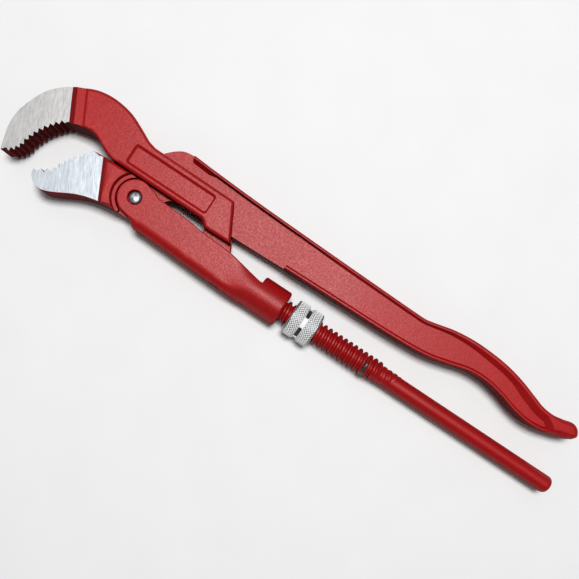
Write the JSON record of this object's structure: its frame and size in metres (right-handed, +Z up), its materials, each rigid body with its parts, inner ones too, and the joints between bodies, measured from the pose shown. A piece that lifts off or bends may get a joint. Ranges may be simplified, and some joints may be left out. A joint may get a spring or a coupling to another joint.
{
  "type": "pipe wrench",
  "caption": "Swedish pattern pipe wrench with S shaped toothed jaws, a sliding fork sleeve on a threaded leg, a knurled adjusting nut and a long handle.",
  "frame": {"origin": "middle of the resting side: under the middle of the whole tool in X and Y, at the surface that it lies on", "axes": "+X along the threaded leg from the hook jaw to the grips, +Y from the threaded leg to the long handle, +Z up through the thickness"},
  "size_m": [0.3194, 0.0572, 0.019],
  "materials": {
    "painted_forging": "fine textured red paint, ground bare steel on the jaws",
    "zinc_nut": "zinc plated, knurled",
    "pin_steel": "bright drawn steel"
  },
  "bodies": {
    "fixed_leg": {"upper_jaw_leg": "painted_forging"},
    "sleeve": {"sliding_sleeve": "painted_forging", "pivot_pin": "pin_steel"},
    "handle": {"lower_jaw_handle": "painted_forging"},
    "nut": {"adjusting_nut": "zinc_nut"}
  },
  "joints": [
    {"name": "sleeve_slide", "type": "slide", "parent": "fixed_leg", "child": "sleeve", "axis": [1, 0, 0], "range_m": [-0.01, 0.022]},
    {"name": "jaw_pivot", "type": "hinge", "parent": "sleeve", "child": "handle", "pos_m": [-0.08885, -0.0062, 0.0095], "axis": [0, 0, 1], "range_deg": [-1, 14]},
    {"name": "nut_turn", "type": "hinge", "parent": "sleeve", "child": "nut", "pos_m": [0.0134, -0.0116, 0.0095], "axis": [1, 0, 0], "range_deg": [-1200, 2640]}
  ],
  "couplings": [
    {"joint": "nut_turn", "follows": "sleeve_slide", "rad_per_m": 2094.4}
  ]
}
